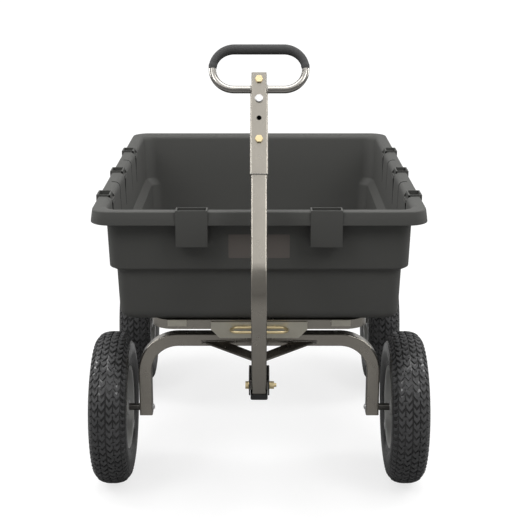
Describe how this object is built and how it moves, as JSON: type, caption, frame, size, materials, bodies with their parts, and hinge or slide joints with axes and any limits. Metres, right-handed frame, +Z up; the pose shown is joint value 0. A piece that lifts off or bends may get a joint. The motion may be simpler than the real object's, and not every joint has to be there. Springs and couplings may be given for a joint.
{
  "type": "garden cart",
  "caption": "Four-wheeled garden dump cart with a moulded charcoal tub, tubular steel running gear, a steered front axle and a bent pull handle with a D-grip.",
  "frame": {"origin": "centre of the bounding box at the ground", "axes": "+Z up, the pull handle and steered axle at -Y, +X to the right seen from the handle"},
  "size_m": [0.898, 1.3122, 1.1928],
  "materials": {
    "frame_paint": "glossy gunmetal powder coat on steel tube",
    "bracket_black": "black painted steel",
    "cap_plastic": "black moulded plastic",
    "bare_steel": "drawn steel tube, clear coated",
    "grip_rubber": "soft black rubber",
    "yellow_zinc": "yellow passivated zinc plating",
    "bright_zinc": "bright zinc plating",
    "nylon": "natural nylon",
    "tub_plastic": "fine grained charcoal polyethylene",
    "label_film": "blank satin film",
    "tyre_rubber": "tread rubber",
    "tube_rubber": "butyl rubber",
    "rim_paint": "light grey painted steel",
    "bearing_steel": "ground steel"
  },
  "bodies": {
    "chassis": {"chassis_rails": "frame_paint", "chassis_front_plate": "frame_paint", "chassis_cross_tie": "frame_paint", "kingpin_plate": "frame_paint", "kingpin_bolt": "bright_zinc", "kingpin_nut": "bright_zinc", "thrust_washer": "nylon", "rear_axle_arch": "frame_paint", "rear_axle_saddles": "frame_paint", "rear_wheel_bolts": "bright_zinc", "rear_wheel_spacers": "bright_zinc", "rear_wheel_nuts": "bright_zinc", "tub_hinge_pin": "bright_zinc", "tub_rest_pads": "grip_rubber"},
    "steering": {"front_axle_arch": "frame_paint", "kingpin_bush": "frame_paint", "steering_tongue": "frame_paint", "tongue_braces": "frame_paint", "clevis_bracket": "bracket_black", "handle_pivot_bolt": "yellow_zinc", "handle_pivot_nut": "yellow_zinc", "pivot_washers": "nylon", "front_wheel_bolts": "bright_zinc", "front_wheel_spacers": "bright_zinc", "front_wheel_nuts": "bright_zinc"},
    "handle": {"handle_tube": "frame_paint", "handle_end_cap": "cap_plastic", "handle_sleeve": "frame_paint", "grip_stub": "frame_paint", "grip_loop": "bare_steel", "grip_cover": "grip_rubber", "handle_bolts": "yellow_zinc", "handle_nuts": "yellow_zinc"},
    "hitch_pin": {"hitch_pin": "bright_zinc"},
    "tub": {"tub": "tub_plastic", "tub_frame_ring": "frame_paint", "tub_frame_cross_members": "frame_paint", "tub_hinge_lugs": "frame_paint", "tub_bolts": "bright_zinc", "tub_nuts": "bright_zinc", "blank_label": "label_film"},
    "latch": {"release_rod": "yellow_zinc", "release_spring": "bright_zinc"},
    "wheel_front_left": {"tyre_front_left": "tyre_rubber", "inner_tube_front_left": "tube_rubber", "rim_front_left": "rim_paint", "bearings_front_left": "bearing_steel"},
    "wheel_front_right": {"tyre_front_right": "tyre_rubber", "inner_tube_front_right": "tube_rubber", "rim_front_right": "rim_paint", "bearings_front_right": "bearing_steel"},
    "wheel_rear_left": {"tyre_rear_left": "tyre_rubber", "inner_tube_rear_left": "tube_rubber", "rim_rear_left": "rim_paint", "bearings_rear_left": "bearing_steel"},
    "wheel_rear_right": {"tyre_rear_right": "tyre_rubber", "inner_tube_rear_right": "tube_rubber", "rim_rear_right": "rim_paint", "bearings_rear_right": "bearing_steel"}
  },
  "joints": [
    {"name": "steering", "type": "hinge", "parent": "chassis", "child": "steering", "pos_m": [0, -0.3108, 0.4075], "axis": [0, 0, 1], "range_deg": [-40, 40]},
    {"name": "handle_pivot", "type": "hinge", "parent": "steering", "child": "handle", "pos_m": [0, -0.5148, 0.354], "axis": [1, 0, 0], "range_deg": [0, 120]},
    {"name": "hitch_pin_pull", "type": "slide", "parent": "handle", "child": "hitch_pin", "axis": [0, -0.848, 0.5299], "range_m": [0, 0.06]},
    {"name": "tub_dump", "type": "hinge", "parent": "chassis", "child": "tub", "pos_m": [0, 0.4462, 0.452], "axis": [-1, 0, 0], "range_deg": [0, 50]},
    {"name": "latch_release", "type": "slide", "parent": "chassis", "child": "latch", "axis": [0, -1, 0], "range_m": [0, 0.018], "stiffness_N_per_m": 600, "springref_m": -0.012},
    {"name": "spin_front_left", "type": "hinge", "parent": "steering", "child": "wheel_front_left", "pos_m": [-0.397, -0.3108, 0.2075], "axis": [1, 0, 0], "continuous": true},
    {"name": "spin_front_right", "type": "hinge", "parent": "steering", "child": "wheel_front_right", "pos_m": [0.397, -0.3108, 0.2075], "axis": [1, 0, 0], "continuous": true},
    {"name": "spin_rear_left", "type": "hinge", "parent": "chassis", "child": "wheel_rear_left", "pos_m": [-0.397, 0.4172, 0.2075], "axis": [1, 0, 0], "continuous": true},
    {"name": "spin_rear_right", "type": "hinge", "parent": "chassis", "child": "wheel_rear_right", "pos_m": [0.397, 0.4172, 0.2075], "axis": [1, 0, 0], "continuous": true}
  ]
}
